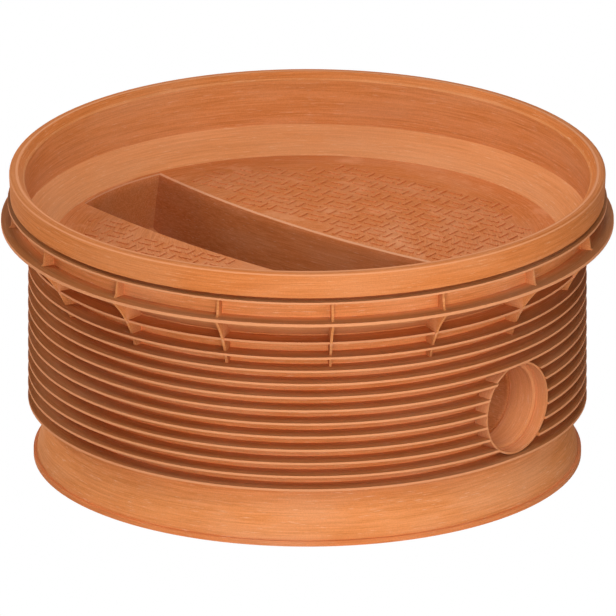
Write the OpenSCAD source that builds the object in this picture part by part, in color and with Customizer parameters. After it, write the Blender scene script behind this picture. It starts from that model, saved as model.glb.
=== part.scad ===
// Drain inspection chamber base: a ribbed round shell with a bell rim for the
// next ring, a welded-in channel and bench floor, two pipe sockets and a flat
// bottom plate. Origin: middle of the underside. +X runs with the flow to the
// outlet, +Z is up. Millimetres.

/* [Shell wall] */
// Inside diameter of the ribbed wall
clear_d = 1000; // [940:10:1040]
// Thickness of the ribbed wall
wall_t = 5.5; // [4:0.5:8]
// Height of the bench surface above the ground
bench_h = 434; // [425:1:470]

/* [Bell rim] */
// Inside diameter of the socket for the next ring
bell_d = 1106; // [1090:2:1140]
// Wall thickness of that socket
bell_t = 6; // [5:0.5:8]
// Height of the sloped shoulder from the benches to the socket
shoulder_h = 46; // [40:1:60]
// Depth of the socket for the next ring
bell_depth = 105; // [95:1:130]
// Width of the lead-in chamfer at the mouth
lead_in_w = 12; // [6:1:14]
// Height of the lead-in chamfer at the mouth
lead_in_h = 14; // [8:1:20]
// Reach of the turned-over rim from the socket bore to its outer face
rim_reach = 30; // [26:1:34]
// Height of the turned-over rim
rim_h = 51; // [40:1:51]
// Thickness of the turned-over rim
rim_t = 6; // [4:0.5:7]
// Draft of the rim's outer face over its height
rim_draft = 2; // [0:0.5:3]
// Radius on the rim's outer top edge
rim_round = 6; // [3:0.5:7]

/* [Flanges] */
// Reach of the wide lower flange beyond the socket wall
lower_flange_reach = 40; // [30:1:50]
// Thickness of the lower flange
lower_flange_t = 6; // [4:0.5:8]
// Reach of the thin upper flange beyond the socket wall
upper_flange_reach = 27; // [20:1:30]
// Thickness of the upper flange
upper_flange_t = 4; // [3:0.5:5]
// Open slot between the upper flange and the rim above it
flange_slot = 8; // [6:0.5:12]

/* [Ribs] */
// Reach of the rings beyond the wall
rib_reach = 40.5; // [30:0.5:45]
// Thickness of each ring
rib_t = 4.5; // [3:0.5:6]
// Drop of the top ring below the crease between wall and shoulder
rib_drop = 2.5; // [1:0.5:5]
// Spacing of the rings
rib_pitch = 27.4; // [24:0.2:34]

/* [Gussets] */
// Number of upright gusset plates
gusset_count = 16; // [8:4:16]
// Thickness of each gusset plate
gusset_t = 5; // [4:0.5:7]
// Reach of the gussets beyond the socket wall between the flanges
gusset_reach = 22; // [16:1:25]
// Taper of the gussets' outer edge up to the upper flange
gusset_taper = 4; // [0:1:8]
// Small flare of the gussets where they stand on the lower flange
gusset_flare = 4; // [2:1:8]
// Reach of the gussets beyond the socket wall under the lower flange
gusset_tip = 35; // [20:1:37]
// Reach of the gussets beyond the ribbed wall at their toe
gusset_toe = 17.5; // [8:0.5:24]
// Radius of the hollow edge between tip and toe
gusset_sweep = 240; // [150:5:400]

/* [Foot] */
// Height of the smooth foot band up to the lowest ring
foot_h = 121; // [110:1:125]
// Flare of the foot band from the ribbed wall to the bottom plate
foot_flare = 23; // [16:0.5:34]
// Wall thickness of the foot band at the bottom
foot_t = 6; // [5:0.5:8]
// Lip of the bottom plate beyond the foot band
plate_lip = 6.5; // [4:0.5:12]
// Thickness of the bottom plate
plate_t = 10.5; // [8:0.5:14]

/* [Channel and benches] */
// Thickness of the channel and bench moulding
insert_t = 8; // [6:0.5:10]
// Width of the channel at bench level
channel_top_w = 216; // [200:2:230]
// Width of the channel's round bottom
channel_bottom_w = 154; // [152:1:160]
// Sideways bow of the channel at the middle of the chamber
channel_bow = 46; // [20:1:60]
// Bevel on the channel's upper edges
channel_edge = 3; // [1:0.5:4]
// Distance from the ribbed wall's inside to the channel's end walls
channel_inset = 58; // [54:1:70]
// Rise of the shelf over each pipe socket
shelf_rise = 15; // [10:1:25]

/* [Tread] */
// Pitch of the tread pattern along the channel
tread_pitch_x = 37.2; // [34:0.1:48]
// Pitch of the tread pattern across the channel
tread_pitch_y = 43; // [34:0.1:48]
// Turn of the tread pattern against the channel
tread_turn = 5; // [0:0.5:10]
// Length of a tread bar
bar_l = 27; // [20:1:30]
// Width of a tread bar
bar_w = 6; // [4:0.5:8]
// Height of a tread bar above the bench
bar_h = 2; // [1:0.5:3]
// Distance between the middles of the two bars of a pair
bar_pair = 22; // [16:1:24]
// Smooth margin between the tread and the wall
tread_margin = 56; // [40:1:80]
// Smooth margin between the tread and the channel
tread_edge = 8; // [6:1:20]

/* [Pipe sockets] */
// Height of the pipe axis above the ground
pipe_z = 219; // [215:1:222]
// Outside diameter of the pipe that is pushed in
pipe_d = 160; // [150:1:160]
// Clear bore of that pipe
pipe_bore = 150; // [140:1:150]
// Clearance between the pipe and the socket, across the diameter
pipe_play = 0.8; // [0.4:0.2:1.6]
// Wall thickness of the socket tube
tube_t = 5; // [4:0.5:6]
// Reach of the socket mouth beyond the ribbed wall
mouth_reach = 30.5; // [25:0.5:38]
// Bore of the wide mouth
mouth_d = 178; // [176:1:180]
// Depth of the wide mouth
mouth_depth = 25; // [18:1:26]
// Wall thickness of the mouth
mouth_t = 4; // [3:0.5:5]
// Lead-in chamfer where the pipe enters the tube
tube_lead = 4; // [2:0.5:5]
// Chamfer around the hole in the channel's end wall
hole_lead = 2.5; // [1:0.5:4]

/* [Hidden] */
$fn = 180;

// radii and levels of the shell
wall_r = clear_d / 2;
wall_out = wall_r + wall_t;
bell_r = bell_d / 2;
bell_out = bell_r + bell_t;
shoulder_z = bench_h + shoulder_h;
top_z = shoulder_z + bell_depth;
rim_out = bell_r + rim_reach;
rim_z = top_z - rim_h;
upper_flange_z = rim_z - flange_slot - upper_flange_t;
lower_flange_top = shoulder_z + lower_flange_t;
// the shoulder keeps the wall's thickness, measured across its slope
shoulder_w = bell_r - wall_r;
shoulder_step = wall_t * norm([shoulder_w, shoulder_h]) / shoulder_h;
crease_z = bench_h - (shoulder_step - wall_t) * shoulder_h / shoulder_w;
// the top ring sits just below the crease, the others stand on the foot band
top_rib_z = crease_z - rib_drop - rib_t / 2;
rib_count = floor((top_rib_z - foot_h) / rib_pitch);
rib_out = wall_out + rib_reach;
function rib_z(k) = foot_h + k * rib_pitch;
overlap = 1;

// foot band and bottom plate
foot_out = wall_out + foot_flare;
plate_r = foot_out + plate_lip;

// sockets
channel_end_x = wall_r - channel_inset;
mouth_x = wall_out + mouth_reach;
tube_r = (pipe_d + pipe_play) / 2;
tube_out = tube_r + tube_t;
collar_out = mouth_d / 2 + mouth_t;
collar_back = mouth_x - mouth_depth - mouth_t;

// channel: half round up to the pipe's axis, with walls that lean out from there
channel_r = channel_bottom_w / 2;
wall_lean = (channel_top_w / 2 - channel_r) / (bench_h - pipe_z);
bend_r = (channel_end_x ^ 2 + channel_bow ^ 2) / (2 * channel_bow);
half_bend = asin(2 * wall_r / (2 * bend_r - wall_r));
shelf_z = pipe_z + tube_out + insert_t;
shelf_run = wall_r - insert_t - channel_end_x;
shelf_turn = atan2(shelf_rise, shelf_run);
plastic = "#d9743c";

module foot_section()
    polygon([[wall_r, foot_h], [wall_out, foot_h],
             [foot_out, plate_t], [foot_out - foot_t, plate_t]]);

module wall_section()
    translate([wall_r, foot_h - overlap]) square([wall_t, crease_z - foot_h + 2 * overlap]);

module shoulder_section()
    polygon([[wall_r, bench_h], [bell_r, shoulder_z], [bell_out, shoulder_z + overlap],
             [wall_r + shoulder_step + shoulder_w, shoulder_z],
             [wall_out, crease_z], [wall_r, crease_z]]);

module bell_section()
    polygon([[bell_r, shoulder_z], [bell_out, shoulder_z], [bell_out, top_z - lead_in_h],
             [bell_r + lead_in_w + bell_t, top_z], [bell_r + lead_in_w, top_z],
             [bell_r, top_z - lead_in_h]]);

// turned-over rim: flat top, rounded outer edge and a drafted skirt, open below
module rim_section() {
    corner = [rim_out - rim_round, top_z - rim_round];
    translate([bell_r + lead_in_w, top_z - rim_t]) square([corner.x - bell_r - lead_in_w, rim_t]);
    difference() {
        translate(corner) circle(r = rim_round);
        translate(corner - [2 * rim_round, 2 * rim_round]) square(2 * rim_round);
    }
    polygon([[rim_out - rim_t, top_z - rim_round], [rim_out, top_z - rim_round],
             [rim_out - rim_draft, rim_z], [rim_out - rim_draft - rim_t, rim_z]]);
}

module flange_section() {
    translate([bell_out - overlap, shoulder_z])
        square([lower_flange_reach + overlap, lower_flange_t]);
    translate([bell_out - overlap, upper_flange_z])
        square([upper_flange_reach + overlap, upper_flange_t]);
}

module ring_section(z)
    translate([wall_out - overlap, z - rib_t / 2]) square([rib_reach + overlap, rib_t]);

module shell_body()
    rotate_extrude() {
        foot_section();
        wall_section();
        shoulder_section();
        bell_section();
        rim_section();
        flange_section();
        ring_section(top_rib_z);
        for (k = [0:rib_count - 1]) ring_section(rib_z(k));
    }

// upright plate: one field between the flanges, one with a hollow edge below them
module gusset_section() {
    foot = bell_out + gusset_reach;
    polygon([[bell_out - overlap, lower_flange_top - overlap],
             [foot + gusset_flare, lower_flange_top - overlap],
             [foot + gusset_flare, lower_flange_top], [foot, lower_flange_top + gusset_flare],
             [foot - gusset_taper, upper_flange_z + overlap],
             [bell_out - overlap, upper_flange_z + overlap]]);
    toe = [wall_out + gusset_toe, rib_z(rib_count - 2) + rib_t / 2];
    tip = [bell_out + gusset_tip, shoulder_z];
    edge = tip - toe;
    depth = sqrt(gusset_sweep ^ 2 - (norm(edge) / 2) ^ 2);
    difference() {
        polygon([[wall_out - overlap, toe.y - overlap], [tip.x + 2 * overlap, toe.y - overlap],
                 tip + [2 * overlap, overlap], [bell_out - overlap, shoulder_z + overlap],
                 [wall_out - overlap, crease_z]]);
        translate((toe + tip) / 2 + depth * [edge.y, -edge.x] / norm(edge)) circle(r = gusset_sweep);
    }
}

module gussets()
    for (k = [0:gusset_count - 1])
        rotate([0, 0, k * 360 / gusset_count])
            rotate([90, 0, 0])
                linear_extrude(height = gusset_t, center = true) gusset_section();

// room for a pipe socket: its tube through the wall, its mouth between the rings
module port_room() {
    room_end = rib_out + overlap;
    translate([0, 0, pipe_z])
        rotate([0, 90, 0]) {
            translate([0, 0, channel_end_x]) cylinder(r = tube_out, h = room_end - channel_end_x);
            translate([0, 0, collar_back]) cylinder(r = collar_out, h = room_end - collar_back);
        }
}

module chamber_shell()
    color(plastic)
        difference() {
            union() {
                shell_body();
                gussets();
            }
            port_room();
            mirror([1, 0, 0]) port_room();
        }

// channel cross-section, grown outwards by extra and cut off at height top
module channel_section(extra, top) {
    r = channel_r + extra;
    top_r = r + wall_lean * (top - pipe_z);
    translate([0, pipe_z]) circle(r = r);
    polygon([[-r, pipe_z], [r, pipe_z], [top_r, top], [-top_r, top]]);
}

// the run of the channel: one long bend through the middle of both end walls
module channel_run()
    translate([0, bend_r - channel_bow, 0])
        rotate([0, 0, 270 - half_bend])
            rotate_extrude(angle = 2 * half_bend)
                translate([bend_r, 0]) children();

// where the channel stops: end walls at the pipes, a shelf above them and the round wall
module channel_ends(extra, top) {
    function shelf(x) = shelf_z - extra / cos(shelf_turn) + (x - channel_end_x) * tan(shelf_turn);
    end_x = channel_end_x + extra;
    intersection() {
        cylinder(r = wall_r - insert_t + extra, h = top);
        rotate([90, 0, 0])
            linear_extrude(height = 2 * wall_r, center = true)
                polygon([[-end_x, 0], [end_x, 0], [end_x, shelf(end_x)],
                         [wall_out, shelf(wall_out)], [wall_out, top],
                         [-wall_out, top], [-wall_out, shelf(wall_out)],
                         [-end_x, shelf(end_x)]]);
    }
}

module channel(extra, top)
    intersection() {
        channel_run() children();
        channel_ends(extra, top);
    }

// bevel along the channel's upper edges, cut on from inside the channel
module edge_section() {
    half = channel_top_w / 2;
    polygon([[channel_edge - half, bench_h - 2 * channel_edge],
             [half - channel_edge, bench_h - 2 * channel_edge],
             [half + channel_edge, bench_h], [half + channel_edge, bench_h + insert_t],
             [-half - channel_edge, bench_h + insert_t], [-half - channel_edge, bench_h]]);
}

// raised pairs of bars on the benches, turned a quarter from cell to cell
module tread() {
    nx = ceil(wall_r / tread_pitch_x);
    ny = ceil(wall_r / tread_pitch_y);
    reach = max(bar_l, bar_pair + bar_w) / 2;
    for (i = [-nx:nx], j = [-ny:ny]) {
        along = i * tread_pitch_x;
        across = j * tread_pitch_y;
        x = cos(tread_turn) * along - sin(tread_turn) * across;
        y = sin(tread_turn) * along + cos(tread_turn) * across;
        off = abs(y + channel_bow - x ^ 2 / (2 * bend_r)) - channel_top_w / 2;
        if (norm([x, y]) + reach < wall_r - tread_margin && off - reach > tread_edge)
            translate([x, y, bench_h - overlap])
                rotate([0, 0, tread_turn + ((i + j) % 2 == 0 ? 90 : 0)])
                    bars();
    }
}

module bars()
    for (side = [-1, 1])
        translate([0, side * bar_pair / 2, (bar_h + overlap) / 2])
            cube([bar_l, bar_w, bar_h + overlap], center = true);

// hole for the flow in an end wall, chamfered on the pipe's side
module end_hole()
    translate([0, 0, pipe_z])
        rotate([0, 90, 0])
            rotate_extrude()
                polygon([[0, channel_end_x - overlap], [pipe_bore / 2, channel_end_x - overlap],
                         [pipe_bore / 2, channel_end_x + insert_t - hole_lead],
                         [pipe_bore / 2 + hole_lead + overlap, channel_end_x + insert_t + overlap],
                         [0, channel_end_x + insert_t + overlap]]);

module benching()
    color(plastic)
        difference() {
            union() {
                translate([0, 0, bench_h - insert_t]) cylinder(r = wall_r, h = insert_t);
                channel(insert_t, bench_h) channel_section(insert_t, bench_h);
                tread();
            }
            channel(0, bench_h + insert_t) {
                channel_section(0, bench_h + insert_t);
                edge_section();
            }
            end_hole();
            mirror([1, 0, 0]) end_hole();
        }

// pipe socket: a tube up to the channel's end wall with a wider mouth outside
module pipe_socket()
    color(plastic)
        translate([0, 0, pipe_z])
            rotate([0, 90, 0])
                rotate_extrude()
                    polygon([[tube_r, channel_end_x + insert_t], [tube_out, channel_end_x + insert_t],
                             [tube_out, collar_back], [collar_out, collar_back], [collar_out, mouth_x],
                             [mouth_d / 2, mouth_x], [mouth_d / 2, mouth_x - mouth_depth],
                             [tube_r + tube_lead, mouth_x - mouth_depth],
                             [tube_r, mouth_x - mouth_depth - tube_lead]]);

module outlet_socket() pipe_socket();

module inlet_socket() mirror([1, 0, 0]) pipe_socket();

module base_plate()
    color(plastic)
        cylinder(r = plate_r, h = plate_t);

chamber_shell();
benching();
outlet_socket();
inlet_socket();
base_plate();
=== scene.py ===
# %% [markdown]
# # Drain inspection chamber base
#
# The object is the lowest part of a round plastic inspection chamber. A ribbed
# shell holds a channel between two benches, and a wide rim takes the next ring.
# Every solid comes from the CAD frame. What is left to do in Blender is the
# look of the moulded polypropylene, the light and the camera.

# %% Load the frame
import math

import bpy
import numpy as np
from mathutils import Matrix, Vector


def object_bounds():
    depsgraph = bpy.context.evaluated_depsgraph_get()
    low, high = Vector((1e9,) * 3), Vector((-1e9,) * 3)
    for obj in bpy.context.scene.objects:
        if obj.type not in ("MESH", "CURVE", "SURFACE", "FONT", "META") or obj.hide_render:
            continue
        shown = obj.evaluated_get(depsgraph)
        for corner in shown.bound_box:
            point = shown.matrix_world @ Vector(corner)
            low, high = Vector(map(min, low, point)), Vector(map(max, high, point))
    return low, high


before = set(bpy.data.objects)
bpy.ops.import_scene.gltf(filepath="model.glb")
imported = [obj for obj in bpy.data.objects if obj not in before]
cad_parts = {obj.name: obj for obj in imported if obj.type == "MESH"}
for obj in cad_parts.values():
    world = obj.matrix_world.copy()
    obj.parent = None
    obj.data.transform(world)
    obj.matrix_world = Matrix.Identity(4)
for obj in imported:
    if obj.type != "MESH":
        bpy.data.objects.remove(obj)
cad_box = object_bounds()
low, high = (np.array(corner) for corner in cad_box)
centre = (low + high) / 2
MM = 0.001
print("nodes:", ", ".join(sorted(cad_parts)))
print("size in mm:", np.round((high - low) / MM, 1))

# %% [markdown]
# ## Colours and nodes
#
# Colours are given as the eye sees them, in sRGB hex, and Blender works with
# linear light. One function does the turning. A second one adds a shader node
# with its settings and its incoming links, so that each material below reads
# as a list of what it is made of. The same nodes could be placed by hand in the
# editor, but a list is easier to read back and to change.

# %% Two helpers for all materials
def linear(hex_colour):
    """sRGB hex to linear RGBA: the standard curve, with its straight foot."""
    srgb = np.array([int(hex_colour[i:i + 2], 16) for i in (1, 3, 5)]) / 255
    rgb = np.where(srgb <= 0.04045, srgb / 12.92, ((srgb + 0.055) / 1.055) ** 2.4)
    return (*rgb, 1.0)


def add(tree, kind, inputs, **settings):
    """Adds a node with its settings, and links or sets its inputs by name or number.

    A node that is given as an input stands for its first output in use.
    """
    node = tree.nodes.new(kind)
    for name, value in settings.items():
        setattr(node, name, value)
    for key, value in inputs.items():
        if isinstance(value, bpy.types.Node):
            value = next(socket for socket in value.outputs if socket.enabled)
        if isinstance(value, bpy.types.NodeSocket):
            tree.links.new(value, node.inputs[key])
        else:
            node.inputs[key].default_value = value
    return node


print("white is", linear("#ffffff"))

# %% [markdown]
# ## Where the flow lines of the moulding run
#
# Molten polypropylene is pushed into the mould and leaves faint streaks along
# its way. A noise pattern becomes such streaks when its coordinates change
# slowly along the flow and fast across it.
#
# On everything round, the slow pair is the direction from the axis, which
# closes on itself without a seam. The two fast ones are the place along the
# axis and the distance from it, so the streaks run round on the walls and on
# the level faces alike. That makes four coordinates, so the noise is
# four-dimensional. Drawing the streaks into a picture would need an unwrapped
# mesh and would show a seam, so they are worked out from the place instead.
#
# - The shell, the plate and the benches turn round the upright axis.
# - The pipe sockets turn round the axis of the pipe.
# - The channel bows gently from one socket to the other, along X. Its streaks
#   run straight along X, which is close enough at their length.

# %% Streak coordinates
BENCH_LEVEL = 434 * MM
BENCH_FROM = -0.5 * MM  # over the bench level, and the channel is below it
UPRIGHT = dict(axis=2, centre=(0, 0, 0), radius=550 * MM)
PIPE = dict(axis=0, centre=(0, 0, 219 * MM), radius=82 * MM)


def height_over_bench(tree, place):
    """How far a place is above the benches: its Z less the bench level."""
    height = add(tree, "ShaderNodeSeparateXYZ", {0: place}).outputs[2]
    return add(tree, "ShaderNodeMath", {0: height, 1: BENCH_LEVEL}, operation="SUBTRACT")


def round_flow(tree, place, length, width, axis, centre, radius):
    """Slow round the axis, fast along it and away from it.

    The vector is the direction from the axis times radius / length, plus the way
    along the axis / width. The fourth coordinate is the distance from it / width.
    """
    on_axis = tuple(float(i == axis) for i in range(3))
    off_axis = tuple(float(i != axis) for i in range(3))
    place = add(tree, "ShaderNodeVectorMath", {0: place, 1: centre}, operation="SUBTRACT")
    flat = add(tree, "ShaderNodeVectorMath", {0: place, 1: off_axis}, operation="MULTIPLY")
    way = add(tree, "ShaderNodeVectorMath", {0: flat}, operation="NORMALIZE")
    slow = add(tree, "ShaderNodeVectorMath", {0: way, "Scale": radius / length},
               operation="SCALE")
    fast = tuple(part / width for part in on_axis)
    vector = add(tree, "ShaderNodeVectorMath", {0: place, 1: fast, 2: slow},
                 operation="MULTIPLY_ADD")
    away = add(tree, "ShaderNodeVectorMath", {0: flat}, operation="LENGTH")
    fourth = add(tree, "ShaderNodeMath", {0: away, 1: 1 / width}, operation="MULTIPLY")
    return vector, fourth


def shell_flow(tree, place, length, width):
    """Round the upright axis."""
    return round_flow(tree, place, length, width, **UPRIGHT)


def pipe_flow(tree, place, length, width):
    """Round the axis of the pipe."""
    return round_flow(tree, place, length, width, **PIPE)


def bench_flow(tree, place, length, width):
    """Round on the benches, straight along X in the channel below them."""
    on_bench = add(tree, "ShaderNodeMath", {0: height_over_bench(tree, place), 1: BENCH_FROM},
                   operation="GREATER_THAN")
    round_vector, round_fourth = shell_flow(tree, place, length, width)
    straight = (1 / length, 1 / width, 1 / width)
    along_x = add(tree, "ShaderNodeVectorMath", {0: place, 1: straight}, operation="MULTIPLY")
    vector = add(tree, "ShaderNodeMix", {"Factor": on_bench, "A": along_x, "B": round_vector},
                 data_type="VECTOR")
    fourth = add(tree, "ShaderNodeMath", {0: on_bench, 1: round_fourth}, operation="MULTIPLY")
    return vector, fourth


print("the benches lie at", BENCH_LEVEL / MM, "mm")

# %% [markdown]
# ## Wear, painted shade and painted light as masks
#
# A mask is a number from 0 to 1 that says how much something holds at a place.
# It can be painted by hand, but here it comes from heights and distances of the
# moulding, so it fits the solid exactly and is the same from every side. Four
# functions make and use masks:
#
# - `within` marks a zone, and `fade` makes a mask rise or fall across one
# - `cover` lays another colour over the plastic
# - `shade` makes the plastic lighter or darker

# %% Making and using masks
EVERYWHERE = 1.0


def within(tree, *limits):
    """1 where every value is between its start and end, 0 elsewhere."""
    mask = EVERYWHERE
    for value, start, end in limits:
        for limit, side in ((start, "GREATER_THAN"), (end, "LESS_THAN")):
            inside = add(tree, "ShaderNodeMath", {0: value, 1: limit}, operation=side)
            mask = add(tree, "ShaderNodeMath", {0: mask, 1: inside}, operation="MULTIPLY")
    return mask


def fade(tree, mask, value, start, end, first=0.0, last=1.0):
    """The mask times a number that goes first..last while value goes start..end."""
    number = add(tree, "ShaderNodeMapRange", {"Value": value, "From Min": start,
                                              "From Max": end, "To Min": first, "To Max": last})
    return add(tree, "ShaderNodeMath", {0: mask, 1: number}, operation="MULTIPLY")


def cover(tree, colour, tint, value, start=0.0, end=1.0, share=1.0):
    """Lays a tint over a colour: not at all at start, and with its share at end."""
    return add(tree, "ShaderNodeMix", {
        "Factor": fade(tree, EVERYWHERE, value, start, end, 0.0, share),
        "A": colour, "B": tint}, data_type="RGBA")


def shade(tree, colour, value, first, last, start=0.0, end=1.0):
    """The colour times a number that goes first..last while value goes start..end."""
    return add(tree, "ShaderNodeVectorMath", {
        0: colour, "Scale": fade(tree, EVERYWHERE, value, start, end, first, last)},
        operation="SCALE")


print("a mask is", EVERYWHERE, "where something holds fully")

# %% [markdown]
# ## Injection-moulded polypropylene
#
# The plastic is a brown orange, dyed through. Five things tell it from a flat
# colour, each with its own size in millimetres:
#
# 1. fine streaks along the flow, a little darker and paler than the ground
# 2. broad soft clouds, drawn out along the flow, where the dye is thinner
# 3. pale dashes, short and thin, also along the flow
# 4. a fine grain from the mould's etched face
# 5. a waxy, dull skin, rougher where it is paler, with a very shallow bump
#
# One even colour would be quicker to make, but moulded plastic never looks that
# even. The specular level is low because the skin is dull, and the index of
# refraction is that of polypropylene. Both are the same all over, so they are
# set on the shader's own sockets.

# %% The plastic
# How long and wide each pattern is, and how much finer detail it has.
STREAK = dict(length=110 * MM, width=2.8 * MM, detail=4.0)
CLOUD = dict(length=260 * MM, width=70 * MM, detail=2.0)
DASH = dict(length=26 * MM, width=1.8 * MM, detail=1.0)
GRAIN = dict(size=2.6 * MM, detail=1.0)  # real grain is finer, and wouldn't show
NOISE_ROUGHNESS = 0.6
# The noise from which a pattern shows, and shows fully, and the share it covers.
DARK_STREAKS = (0.3, 0.52, 1.0)
PALE_STREAKS = (0.5, 0.72, 1.0)
CLOUDS = (0.45, 0.75, 0.35)
DASHES = (0.62, 0.74, 0.8)
NOISE_RANGE = (0.3, 0.7)  # where most values of a noise lie
GRAIN_SHADE = (0.95, 1.05)
ROUGHNESS = (0.6, 0.72)
BUMP_STRENGTH, BUMP_DEPTH = 0.2, 0.3 * MM
IOR = 1.49
SPECULAR = 0.02


def flow_noise(tree, place, flow, length, width, detail):
    """Noise drawn out along the flow, from 0 to 1."""
    vector, fourth = flow(tree, place, length, width)
    return add(tree, "ShaderNodeTexNoise", {
        "Vector": vector, "W": fourth, "Scale": 1.0, "Detail": detail,
        "Roughness": NOISE_ROUGHNESS}, noise_dimensions="4D")


def polypropylene(name, flow, base, dark, pale, chalk, finish=None):
    """A moulded plastic whose streaks follow flow. A finish works on its colour last."""
    material = bpy.data.materials.new(name)
    material.use_nodes = True
    tree = material.node_tree
    tree.nodes.clear()
    place = add(tree, "ShaderNodeTexCoord", {}).outputs["Object"]
    streaks, clouds, dashes = (flow_noise(tree, place, flow, **pattern)
                               for pattern in (STREAK, CLOUD, DASH))
    grain = add(tree, "ShaderNodeTexNoise", {"Vector": place, "Scale": 1 / GRAIN["size"],
                                             "Detail": GRAIN["detail"]})
    colour = linear(dark)
    for pattern, tint, limits in ((streaks, base, DARK_STREAKS), (streaks, pale, PALE_STREAKS),
                                  (clouds, chalk, CLOUDS), (dashes, chalk, DASHES)):
        colour = cover(tree, colour, linear(tint), pattern, *limits)
    colour = shade(tree, colour, grain, *GRAIN_SHADE, *NOISE_RANGE)
    if finish:
        colour = finish(tree, place, colour)
    roughness = add(tree, "ShaderNodeMapRange", {
        "Value": streaks, "From Min": NOISE_RANGE[0], "From Max": NOISE_RANGE[1],
        "To Min": ROUGHNESS[0], "To Max": ROUGHNESS[1]})
    bump = add(tree, "ShaderNodeBump", {"Height": streaks, "Strength": BUMP_STRENGTH,
                                        "Distance": BUMP_DEPTH})
    surface = add(tree, "ShaderNodeBsdfPrincipled", {
        "Base Color": colour, "Roughness": roughness, "IOR": IOR,
        "Specular IOR Level": SPECULAR, "Normal": bump})
    add(tree, "ShaderNodeOutputMaterial", {"Surface": surface})
    return material


print("streaks in mm:", STREAK["length"] / MM, "by", STREAK["width"] / MM)

# %% [markdown]
# ## The benching's own finish
#
# Boots scuff the benches in patches about a hand wide, and there the plastic
# turns pale. The bars of the tread are a little paler everywhere, partly from wear
# and partly painted light on their shaded sides. The bevel along the channel gets
# a painted highlight, a pale line. The channel is painted darker, a painted shade
# below the benches. All of it goes by the height over the bench, because each of
# these places has a height of its own.

# %% Worn benches, painted light on the bars and bevel, painted shade in the channel
WEAR_AND_PAINTED_LIGHT_COLOUR = "#e2996a"
BEVEL_HIGHLIGHT_COLOUR = "#ecb48c"
SCUFF = dict(size=70 * MM, detail=4.0, roughness=0.65)
SCUFFED = (0.54, 0.7, 0.0, 0.7)  # noise where a patch starts and is full, and its shares
# Heights over the bench between which something starts and is full, or lies.
ON_BENCH = (-2 * MM, -1 * MM)
# the bars paler: partly wear, partly painted light on their shaded sides
BARS, BARS_WEAR_AND_LIGHT_SHARE = (0.2 * MM, 2 * MM), 0.15
# painted shade: the channel below the benches painted darker
CHANNEL, CHANNEL_PAINTED_SHADE = (-20 * MM, -3 * MM), (0.80, 1.0)
# painted highlight: a pale line along the bevel of the channel
BEVEL, BEVEL_HIGHLIGHT_SHARE = (-3.0 * MM, -0.2 * MM), 0.65


def bench_finish(tree, place, colour):
    """Pale scuffed patches, bars paler from wear and painted light, a painted highlight on the
    bevel, painted shade in the channel.
    """
    height = height_over_bench(tree, place)
    # paler bars: partly wear, partly painted light on their shaded sides
    colour = cover(tree, colour, linear(WEAR_AND_PAINTED_LIGHT_COLOUR), height, *BARS, BARS_WEAR_AND_LIGHT_SHARE)
    patches = add(tree, "ShaderNodeTexNoise", {
        "Vector": place, "Scale": 1 / SCUFF["size"], "Detail": SCUFF["detail"],
        "Roughness": SCUFF["roughness"]})
    scuffed = fade(tree, fade(tree, EVERYWHERE, patches, *SCUFFED), height, *ON_BENCH)
    colour = cover(tree, colour, linear(WEAR_AND_PAINTED_LIGHT_COLOUR), scuffed)
    # painted shade in the channel
    colour = shade(tree, colour, height, *CHANNEL_PAINTED_SHADE, *CHANNEL)
    # painted highlight on the bevel along the channel
    bevel = within(tree, (height, *BEVEL))
    return cover(tree, colour, linear(BEVEL_HIGHLIGHT_COLOUR), bevel, share=BEVEL_HIGHLIGHT_SHARE)


print("scuffed patches in mm:", SCUFF["size"] / MM)

# %% [markdown]
# ## The shell's own finish
#
# The shell's colour changes in five ways, each tied to a radius or a height of
# the moulding:
#
# 1. painted shade darkens the level faces of the rings, the flanges and the rim,
#    most of it near their edge, and less of it towards the top of the rim
# 2. the edges are paler, partly from rubbing and partly a painted highlight
# 3. the rim is painted darker and redder, a painted shade
# 4. the walls between the rings and between the flanges, the slot under the
#    rim and the smooth foot are painted lighter, painted light where shade falls
# 5. the shoulder inside is painted paler, a painted highlight
#
# The painted shade makes the plastic darker and lays no colour of its own, so
# the streaks show through it.

# %% Where painted shade, painted light and pale edges are on the shell
FOOT_TOP, CREASE, RIM_LOW, TOP = 118 * MM, 440 * MM, 530 * MM, 600 * MM
BELL_OUT, OUTERMOST = 556 * MM, 600 * MM  # distances from the axis

# Distances between which the painted shade starts and is darkest, and how much there is then.
PAINTED_SHADE_RINGS = (512 * MM, 540 * MM, 0.0, 0.8)
PAINTED_SHADE_FLANGES = (562 * MM, 582 * MM, 0.0, 1.0)
PAINTED_SHADE_UPWARD = (0.6, 0.9)  # how far up a face has to look, from 0 to 1
PAINTED_SHADE_TOWARDS_TOP = (RIM_LOW, 580 * MM, 1.0, 0.35)  # less painted shade on the rim, least at the top
# how much of the colour the darkest painted shade leaves
PAINTED_SHADE_DARKEST = 0.55

# Lowest and highest place, least and most distance from the axis, and how much lighter it is
# painted.
PAINTED_LIGHT = {
    "wall between the rings": (FOOT_TOP, 425 * MM, 504.5 * MM, 508 * MM, 1.22),
    "wall between the flanges": (486.5 * MM, 521.5 * MM, BELL_OUT, 560.5 * MM, 1.22),
    "slot under the rim": (525.5 * MM, 534 * MM, BELL_OUT, 575 * MM, 1.5),
    "foot": (0.0, FOOT_TOP, 0.0, OUTERMOST, 1.08),
}
# painted highlight: the shoulder inside is painted paler
SHOULDER = (BENCH_LEVEL, 480.5 * MM, 0.0, 553 * MM)
SHOULDER_HIGHLIGHT_COLOUR, SHOULDER_HIGHLIGHT_SHARE = "#e8a676", 0.22
RIM = (RIM_LOW, TOP, BELL_OUT, OUTERMOST)
# painted shade: the rim painted darker and redder
RIM_SHADE_TINT = (0.94, 0.80, 0.67)

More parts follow.
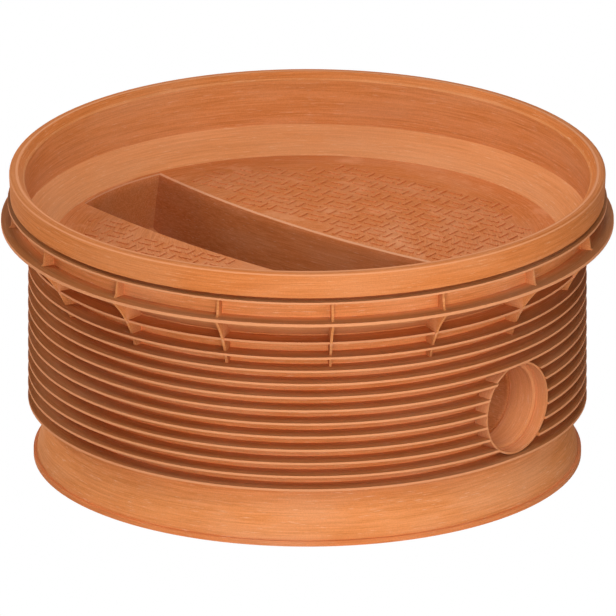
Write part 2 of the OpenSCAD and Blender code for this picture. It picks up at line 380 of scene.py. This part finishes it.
# Radius, lowest and highest place of each edge that is painted pale, for wear and a painted
# highlight.
EDGES = {
    "rings": (546 * MM, FOOT_TOP, CREASE),
    "lower flange": (599 * MM, CREASE, 500 * MM),
    "upper flange": (586 * MM, 500 * MM, RIM_LOW),
    "mouth": (567 * MM, 584 * MM, TOP),
    "rim": (582 * MM, 580.5 * MM, TOP),
}
# From an edge's radius: where the pale edge starts and is full, and how wide the edge is.
EDGE_PALE_START, EDGE_PALE_FULL = -1.2 * MM, -0.36 * MM
EDGE_FROM, EDGE_TO = -2.4 * MM, 3.6 * MM
# pale edges: wear and a painted highlight
EDGE_WEAR_AND_HIGHLIGHT_COLOUR, EDGE_WEAR_AND_HIGHLIGHT_SHARE = "#d89266", 0.85
# the places painted lighter, painted light where shade falls
print("fresh:", ", ".join(PAINTED_LIGHT))
print("rubbed edges:", ", ".join(EDGES))


# %% Painted shade, pale edges, painted light and a painted highlight
def shell_finish(tree, place, colour):
    """Painted shade on upward faces outside and a darker rim, pale edges, painted light in
    recesses and a painted highlight inside.
    """
    height = add(tree, "ShaderNodeSeparateXYZ", {0: place}).outputs[2]
    flat = add(tree, "ShaderNodeVectorMath", {0: place, 1: (1, 1, 0)}, operation="MULTIPLY")
    reach = add(tree, "ShaderNodeVectorMath", {0: flat}, operation="LENGTH")
    facing = add(tree, "ShaderNodeTexCoord", {}).outputs["Normal"]
    upward = add(tree, "ShaderNodeSeparateXYZ", {0: facing}).outputs[2]

    def zone(bottom, top, inner, outer):
        """1 between two heights and two distances from the axis, 0 elsewhere."""
        return within(tree, (height, bottom, top), (reach, inner, outer))

    # painted shade: darker on the upward faces of the rings, the flanges and the rim
    rings = fade(tree, within(tree, (height, FOOT_TOP, CREASE)), reach, *PAINTED_SHADE_RINGS)
    flanges = fade(tree, EVERYWHERE, reach, *PAINTED_SHADE_FLANGES)
    painted_shade = add(tree, "ShaderNodeMath", {0: rings, 1: flanges}, operation="MAXIMUM")
    painted_shade = fade(tree, fade(tree, painted_shade, upward, *PAINTED_SHADE_UPWARD), height, *PAINTED_SHADE_TOWARDS_TOP)
    colour = shade(tree, colour, painted_shade, 1.0, PAINTED_SHADE_DARKEST)
    # painted light: the recesses, the slot under the rim and the foot painted lighter
    for *limits, painted_light_factor in PAINTED_LIGHT.values():
        colour = shade(tree, colour, zone(*limits), 1.0, painted_light_factor)

    # painted highlight on the shoulder inside
    colour = cover(tree, colour, linear(SHOULDER_HIGHLIGHT_COLOUR), zone(*SHOULDER), share=SHOULDER_HIGHLIGHT_SHARE)
    # painted shade on the rim, darker and redder
    rim_shaded = add(tree, "ShaderNodeVectorMath", {0: colour, 1: RIM_SHADE_TINT}, operation="MULTIPLY")
    colour = cover(tree, colour, rim_shaded, zone(*RIM))

    # pale edges: partly wear, partly a painted highlight
    worn_and_highlit = 0.0
    for radius, bottom, top in EDGES.values():
        edge = fade(tree, zone(bottom, top, radius + EDGE_FROM, radius + EDGE_TO), reach,
                    radius + EDGE_PALE_START, radius + EDGE_PALE_FULL, 0.0, EDGE_WEAR_AND_HIGHLIGHT_SHARE)
        worn_and_highlit = add(tree, "ShaderNodeMath", {0: worn_and_highlit, 1: edge}, operation="MAXIMUM")
    return cover(tree, colour, linear(EDGE_WEAR_AND_HIGHLIGHT_COLOUR), worn_and_highlit)


# the darkest painted shade
print("the thickest dirt leaves", PAINTED_SHADE_DARKEST, "of the shell's colour")

# %% [markdown]
# ## Four plastics
#
# The pieces come from different moulds and batches, so their colours differ by
# a shade. One material for all would be simpler and would look too even. Each
# plastic has its ground, its darker and its paler streaks, and the chalky tone
# of its clouds and dashes. The base plate is cut from extruded sheet, whose flow
# lines are straight. Only its edge shows, so it has round ones as the shell has.

# %% Mix the plastics
shell_plastic = polypropylene("injection_moulded_polypropylene_shell", shell_flow,
                              "#d3864e", "#c37741", "#dd935d", "#dda67e", shell_finish)
bench_plastic = polypropylene("injection_moulded_polypropylene_benching", bench_flow,
                              "#d07b45", "#c06e3a", "#da8a56", "#dd9f76", bench_finish)
socket_plastic = polypropylene("injection_moulded_polypropylene_socket", pipe_flow,
                               "#d08655", "#c67d4c", "#d68e60", "#da9f7a")
plate_plastic = polypropylene("extruded_polypropylene_plate", shell_flow,
                              "#d6814b", "#c67441", "#de8e59", "#dda27a")
for material in (shell_plastic, bench_plastic, socket_plastic, plate_plastic):
    print(material.name, len(material.node_tree.nodes), "nodes")

# %% Dress the CAD nodes
for name, material in (
    ("chamber_shell", shell_plastic),
    ("benching", bench_plastic),
    ("outlet_socket", socket_plastic),
    ("inlet_socket", socket_plastic),
    ("base_plate", plate_plastic),
):
    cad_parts[name].data.materials[0] = material
    print(name, "is", material.name)

# %% [markdown]
# ## Floor and backdrop
#
# A pale floor carries the object and throws light up at it. Seen by the camera
# it is plain white, and so is the world, so the object stands on white. The
# price of that is that no shadow shows on the floor. A backdrop lit until it is
# white would throw far more light on the object.

# %% Floor
FLOOR_REACH = 12.0
FLOOR_GAP = 0.5 * MM  # below the object, so that the two faces don't flicker
FLOOR_COLOUR, SEEN_COLOUR = "#f2f2f2", "#ffffff"


def seen(tree):
    """1 for a ray from the camera, a gloss or a clear body, 0 for light on things."""
    rays = add(tree, "ShaderNodeLightPath", {}).outputs
    first = add(tree, "ShaderNodeMath", {0: rays["Is Camera Ray"], 1: rays["Is Glossy Ray"]},
                operation="MAXIMUM")
    return add(tree, "ShaderNodeMath", {0: first, 1: rays["Is Transmission Ray"]},
               operation="MAXIMUM")


floor_mesh = bpy.data.meshes.new("floor")
square = ((-1, -1), (1, -1), (1, 1), (-1, 1))
corners = [(x * FLOOR_REACH, y * FLOOR_REACH, 0) for x, y in square]
floor_mesh.from_pydata(corners, [], [(0, 1, 2, 3)])
floor = bpy.data.objects.new("floor", floor_mesh)
floor.location.z = low[2] - FLOOR_GAP
bpy.context.scene.collection.objects.link(floor)
floor_material = bpy.data.materials.new("studio_floor")
floor_material.use_nodes = True
tree = floor_material.node_tree
tree.nodes.clear()
paper = add(tree, "ShaderNodeBsdfDiffuse", {"Color": linear(FLOOR_COLOUR)})
glow = add(tree, "ShaderNodeEmission", {"Color": linear(SEEN_COLOUR), "Strength": 1.0})
blend = add(tree, "ShaderNodeMixShader", {0: seen(tree), 1: paper, 2: glow})
add(tree, "ShaderNodeOutputMaterial", {"Surface": blend})
floor.data.materials.append(floor_material)
print("the floor is", 2 * FLOOR_REACH, "m wide")

# %% World
WORLD_LIGHT = 0.1
world = bpy.data.worlds.new("studio_world")
bpy.context.scene.world = world
world.use_nodes = True
tree = world.node_tree
tree.nodes.clear()
strength = add(tree, "ShaderNodeMapRange", {"Value": seen(tree), "To Min": WORLD_LIGHT})
sky = add(tree, "ShaderNodeBackground", {"Color": linear(SEEN_COLOUR), "Strength": strength})
add(tree, "ShaderNodeOutputWorld", {"Surface": sky})
print("world light:", WORLD_LIGHT)

# %% [markdown]
# ## Camera
#
# The view is from far off, so it has hardly any perspective. A long lens would
# come close to that, and an orthographic camera gives it exactly.

# %% Camera
VIEW_AZIMUTH = 40.1
VIEW_ELEVATION = 20.2
VIEW_WIDTH = 1.2036
AIM = (-0.3 * MM, 2.2 * MM, 299.4 * MM)
CAMERA_DISTANCE = 6.0


def towards(azimuth, elevation):
    """Unit vector from the object to a place at that azimuth and elevation, in degrees."""
    a, e = math.radians(azimuth), math.radians(elevation)
    return np.array([math.sin(a) * math.cos(e), -math.cos(a) * math.cos(e), math.sin(e)])


def aim_at(thing, place, target):
    """Puts a lamp or camera at place and turns its -Z towards target."""
    thing.location = place
    way = Vector(target) - Vector(place)
    thing.rotation_euler = way.to_track_quat("-Z", "Y").to_euler()


camera = bpy.data.objects.new("camera", bpy.data.cameras.new("camera"))
camera.data.type = "ORTHO"
camera.data.ortho_scale = VIEW_WIDTH
bpy.context.scene.collection.objects.link(camera)
bpy.context.scene.camera = camera
aim_at(camera, np.array(AIM) + towards(VIEW_AZIMUTH, VIEW_ELEVATION) * CAMERA_DISTANCE, AIM)
print("camera at", np.round(camera.location, 3))

# %% [markdown]
# ## Light
#
# Every lamp is a broad soft disc. The key stands in line with the camera and a
# little lower, so upright faces are bright and level faces are a step darker. A
# high one and one overhead reach the benches. One from the left and one from
# behind light the inside of the far wall and the shoulder, and a weak one from
# the right keeps the socket from going dark. A single lamp would be simpler, but
# it would leave the channel and the far wall dark.

# %% Lights
# Azimuth and elevation in degrees, power in watts.
LIGHTS = {
    "key": (40.0, 12.0, 106.0),
    "high": (50.0, 50.0, 88.0),
    "top": (40.0, 88.0, 44.0),
    "left": (-74.0, 30.0, 104.0),
    "right": (84.0, 22.0, 28.0),
    "back": (215.0, 20.0, 58.0),
}
LAMP_DISTANCE, LAMP_SIZE = 5.0, 2.4
for name, (azimuth, elevation, power) in LIGHTS.items():
    lamp = bpy.data.objects.new(name, bpy.data.lights.new(name, "AREA"))
    lamp.data.shape = "DISK"
    lamp.data.size = LAMP_SIZE
    lamp.data.energy = power
    bpy.context.scene.collection.objects.link(lamp)
    aim_at(lamp, centre + towards(azimuth, elevation) * LAMP_DISTANCE, centre)
    print(name, power, "W")

bpy.context.scene.view_settings.view_transform = "Standard"

# %% [markdown]
# ## Size of what shows
#
# The box of the CAD solids is kept as cad_box when the frame is loaded. The
# solids got materials, and nothing was moved.
